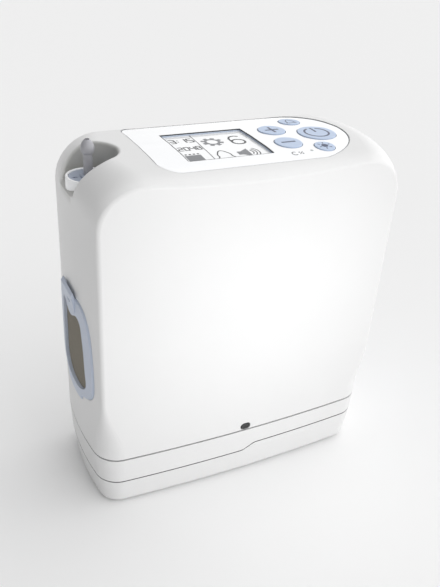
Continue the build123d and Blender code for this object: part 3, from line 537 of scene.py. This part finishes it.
def panel_rim():
    """Thin painted shadow line along the joint where the overlay meets the shell."""
    inner = [(x, y, top_of("control_panel", x, y) + JOINT_RISE) for x, y in panel_path(-0.04)]
    outer_path = panel_path(JOINT_REACH)
    outer = []
    for x, y, _ in inner:
        ox, oy = min(outer_path, key=lambda point: math.hypot(point[0] - x, point[1] - y))
        outer.append((ox, oy, top_of("main_housing", ox * 1.002, oy * 1.002) + 3 * JOINT_RISE))
    strip("panel_joint_shadow", [outer, inner], shadow_line)


def window_gasket():
    """Lining of the display recess: a dark lip above, then pale blue down to the glass."""
    x0, x1 = WINDOW["x"]
    y0, y1 = WINDOW["y"]
    loop = spaced([(x0, y0), (x1, y0), (x1, y1), (x0, y1)], 4.0)

    def ring(shrink, sink):
        """The recess outline moved inward, and down from the panel's surface."""
        cx, cy = (x0 + x1) / 2, (y0 + y1) / 2
        fx, fy = 1 - shrink / ((x1 - x0) / 2), 1 - shrink / ((y1 - y0) / 2)
        return [
            (cx + (x - cx) * fx, cy + (y - cy) * fy, top_of("control_panel", x * 1.02, y * 1.02) - sink)
            for x, y in loop
        ]

    strip("window_lip", [ring(0.04, -0.03), ring(0.5, -0.03), ring(0.5, 0.5)], ink)
    strip("window_glow", [ring(0.5, 0.5), ring(0.75, 1.16)], rim_blue)


display_content()
key_symbols()
panel_rim()
window_gasket()


# ------------------------------------------------------------------ stage, light and camera
def floor():
    """Pale paper floor, wide enough to fill every view."""
    mesh = bpy.data.meshes.new("floor")
    build = bmesh.new()
    bmesh.ops.create_grid(build, x_segments=8, y_segments=8, size=6.0)
    build.to_mesh(mesh)
    build.free()
    obj = bpy.data.objects.new("floor", mesh)
    bpy.context.collection.objects.link(obj)
    shader = Shader("floor_paper", srgb(243, 243, 243), 0.9, Specular_IOR_Level=0.1)
    shader.mottle(0.8, 0.004)
    mesh.materials.append(shader.mat)


def area_light(name, place, aim, size, power):
    """Narrow-spread soft box aimed at a point."""
    data = bpy.data.lights.new(name, "AREA")
    data.shape = "RECTANGLE"
    data.size, data.size_y = size
    data.energy = power
    data.spread = math.radians(75)
    obj = bpy.data.objects.new(name, data)
    obj.location = place
    obj.rotation_mode = "QUATERNION"
    obj.rotation_quaternion = (Vector(aim) - Vector(place)).to_track_quat("-Z", "Y")
    bpy.context.collection.objects.link(obj)


def camera():
    """Camera in front and to the left of the object, looking down and rolled slightly."""
    azimuth, elevation, roll = (math.radians(v) for v in (27.54, 30.25, 3.90))
    distance = 0.41507
    target = Vector((-1.03, 0.01, 109.79)) * MM
    level = math.cos(elevation)
    back = Vector((-math.sin(azimuth) * level, -math.cos(azimuth) * level, math.sin(elevation)))
    right = (-back).cross(Vector((0, 0, 1))).normalized()
    up = right.cross(-back)
    tilted_right = right * math.cos(roll) + up * math.sin(roll)
    tilted_up = up * math.cos(roll) - right * math.sin(roll)
    turn = Matrix((tilted_right, tilted_up, back)).transposed()
    data = bpy.data.cameras.new("camera")
    data.lens = 42.53
    data.sensor_width = 36.0
    data.clip_start = 0.01
    data.clip_end = 50.0
    obj = bpy.data.objects.new("camera", data)
    obj.rotation_mode = "QUATERNION"
    obj.location = target + back * distance
    obj.rotation_quaternion = turn.to_quaternion()
    bpy.context.collection.objects.link(obj)
    bpy.context.scene.camera = obj


def studio(overhead, toward_right, toward_front):
    """Plain soft studio: an even dome, brighter toward the right and the front."""
    world = bpy.data.worlds.new("studio")
    world.use_nodes = True
    tree = world.node_tree
    tree.nodes["Background"].inputs["Color"].default_value = (1, 1, 1, 1)
    coords = tree.nodes.new("ShaderNodeTexCoord")
    tilt = tree.nodes.new("ShaderNodeVectorMath")
    tilt.operation = "DOT_PRODUCT"
    tilt.inputs[1].default_value = (toward_right, -toward_front, 0.0)
    tree.links.new(coords.outputs["Generated"], tilt.inputs[0])
    total = tree.nodes.new("ShaderNodeMath")
    total.operation = "ADD"
    total.inputs[1].default_value = overhead
    tree.links.new(tilt.outputs["Value"], total.inputs[0])
    tree.links.new(total.outputs[0], tree.nodes["Background"].inputs["Strength"])
    bpy.context.scene.world = world


bpy.context.scene.view_settings.view_transform = "Standard"
floor()
camera()
studio(0.96, 0.86, 0.20)
area_light("front_soft", (0.02, -0.27, 0.15), (0.005, -0.04, 0.122), (0.12, 0.10), 0.042)
